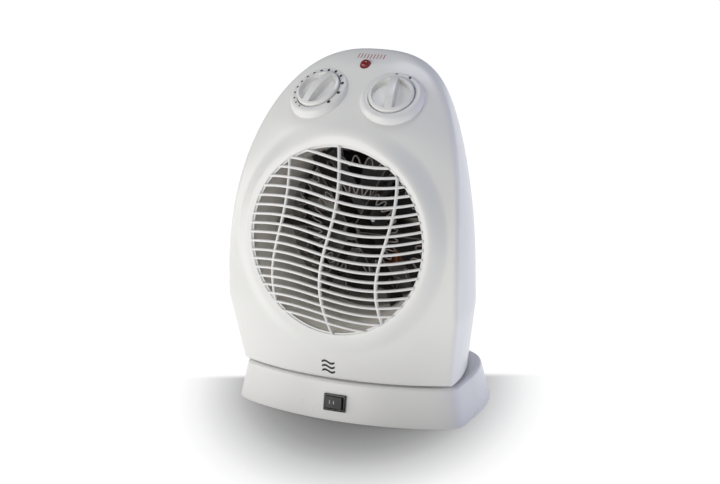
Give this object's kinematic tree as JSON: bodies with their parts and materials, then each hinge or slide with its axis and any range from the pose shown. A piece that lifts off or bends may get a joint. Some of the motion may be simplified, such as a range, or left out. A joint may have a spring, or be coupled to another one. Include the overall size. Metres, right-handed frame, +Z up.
{
  "type": "fan convector heater",
  "caption": "Oscillating fan heater: egg-shaped leaning casing with domed round grille and control knobs, swivelling on a flared base with a rocker switch.",
  "frame": {"origin": "on the floor, under the middle of the object's bounding box and on the swivel axis", "axes": "+Z up along the swivel axis, -Y forward out of the grille, +X to the right as seen from behind the grille looking along +Y"},
  "size_m": [0.2208, 0.157, 0.313],
  "materials": {
    "white_gloss": "glossy moulded",
    "shell_white": "glossy moulded",
    "knob_white": "glossy moulded",
    "black_plastic": "satin",
    "nylon": "natural nylon",
    "rubber": "matte",
    "zinc_steel": "galvanised sheet",
    "steel": "plated",
    "mica": "pressed mica board",
    "heater_wire": "oxidised nickel-chrome",
    "copper": "enamelled copper winding",
    "red_lens": "clear red"
  },
  "bodies": {
    "base": {"base_shell": "white_gloss", "base_plate": "shell_white", "foot_1": "rubber", "foot_2": "rubber", "foot_3": "rubber", "foot_4": "rubber", "base_screw_1": "steel", "base_screw_2": "steel", "base_screw_3": "steel", "base_screw_4": "steel", "swing_motor": "zinc_steel", "switch_housing": "black_plastic", "cord_gland": "black_plastic"},
    "heater": {"front_shell": "white_gloss", "rear_shell": "shell_white", "front_grille": "white_gloss", "chassis": "nylon", "air_duct": "zinc_steel", "element_frame": "mica", "heating_coil_inner": "heater_wire", "heating_coil_outer": "heater_wire", "thermal_cutout": "black_plastic", "motor_stator": "steel", "motor_coil": "copper", "motor_front_bracket": "zinc_steel", "motor_rear_bracket": "zinc_steel", "motor_mount": "zinc_steel", "thermostat": "nylon", "selector_switch": "nylon", "lamp_lens": "red_lens", "lamp_bulb": "nylon", "pivot_tube": "nylon", "pivot_clip": "steel", "drive_arm": "steel", "rear_screw_1": "steel", "rear_screw_2": "steel", "rear_screw_3": "steel", "rear_screw_4": "steel"},
    "crank": {"swing_crank": "nylon"},
    "switch_rocker": {"rocker": "black_plastic"},
    "fan": {"fan_impeller": "black_plastic", "motor_shaft": "steel"},
    "thermostat_dial": {"thermostat_knob": "knob_white", "thermostat_spindle": "steel"},
    "selector_dial": {"selector_switch_knob": "knob_white", "selector_switch_spindle": "steel"}
  },
  "joints": [
    {"name": "swivel", "type": "hinge", "parent": "base", "child": "heater", "pos_m": [0, 0, 0.037], "axis": [0, 0, 1], "range_deg": [-30, 30]},
    {"name": "crank_spin", "type": "hinge", "parent": "base", "child": "crank", "pos_m": [0, 0.038, 0.031], "axis": [0, 0, 1], "continuous": true},
    {"name": "rocker_tip", "type": "hinge", "parent": "base", "child": "switch_rocker", "pos_m": [0, -0.06542, 0.01782], "axis": [0, 0.2032, 0.9791], "range_deg": [0, 16]},
    {"name": "fan_spin", "type": "hinge", "parent": "heater", "child": "fan", "pos_m": [0, 0.023, 0.1625], "axis": [0, 1, 0], "continuous": true},
    {"name": "thermostat_turn", "type": "hinge", "parent": "heater", "child": "thermostat_dial", "pos_m": [-0.0349, -0.0127, 0.2841], "axis": [0.12, 0.5799, -0.8058], "range_deg": [0, 290]},
    {"name": "selector_turn", "type": "hinge", "parent": "heater", "child": "selector_dial", "pos_m": [0.0349, -0.0127, 0.2841], "axis": [-0.12, 0.5799, -0.8058], "range_deg": [0, 270]}
  ]
}
